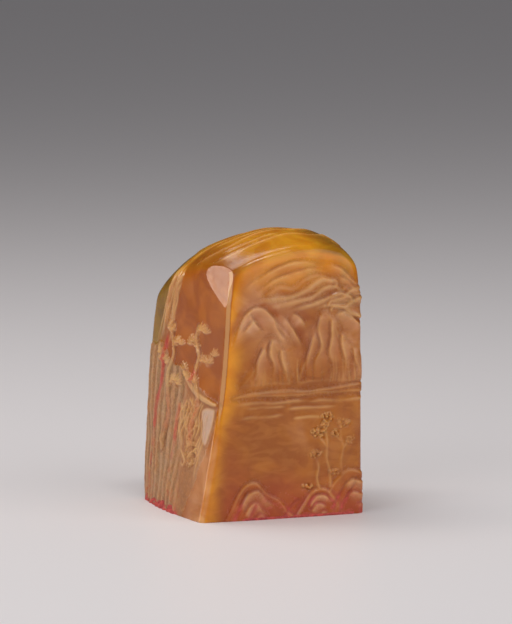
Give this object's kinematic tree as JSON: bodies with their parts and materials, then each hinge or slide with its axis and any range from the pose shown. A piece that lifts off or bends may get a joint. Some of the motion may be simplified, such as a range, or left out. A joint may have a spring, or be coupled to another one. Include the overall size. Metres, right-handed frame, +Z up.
{
  "type": "seal stamp",
  "caption": "Hand seal of honey-coloured soapstone: squared block with a domed crown, thin landscape carving and an engraved fret seal face.",
  "frame": {"origin": "centre of the seal face, on the plane that the stone stands on", "axes": "+Z up along the stone's length, -Y out of the main carved face, +X to the right as that face is seen"},
  "size_m": [0.0433, 0.0413, 0.0663],
  "materials": {
    "honey_stone": "polished, translucent honey and amber soapstone",
    "carved_stone": "carved and polished tan soapstone",
    "pale_skin": "pale crusted skin of the stone, matt and stippled",
    "red_vein_stone": "iron-red vein in the stone",
    "vermilion_paste": "dried vermilion seal paste, crumbly and matt"
  },
  "bodies": {
    "root": {"stone_core": "honey_stone", "front_rocks": "carved_stone", "front_grove": "carved_stone", "far_shore": "carved_stone", "mountain_peaks": "carved_stone", "shoulder_clouds": "carved_stone", "crown_ridges": "honey_stone", "cliff_skin": "pale_skin", "cliff_pines": "carved_stone", "rear_cascade": "pale_skin", "red_vein": "red_vein_stone", "back_hills": "carved_stone", "back_cloud": "carved_stone", "right_bank": "carved_stone", "paste_left_foot": "vermilion_paste", "paste_front_foot": "vermilion_paste", "paste_legend": "vermilion_paste"}
  },
  "joints": []
}
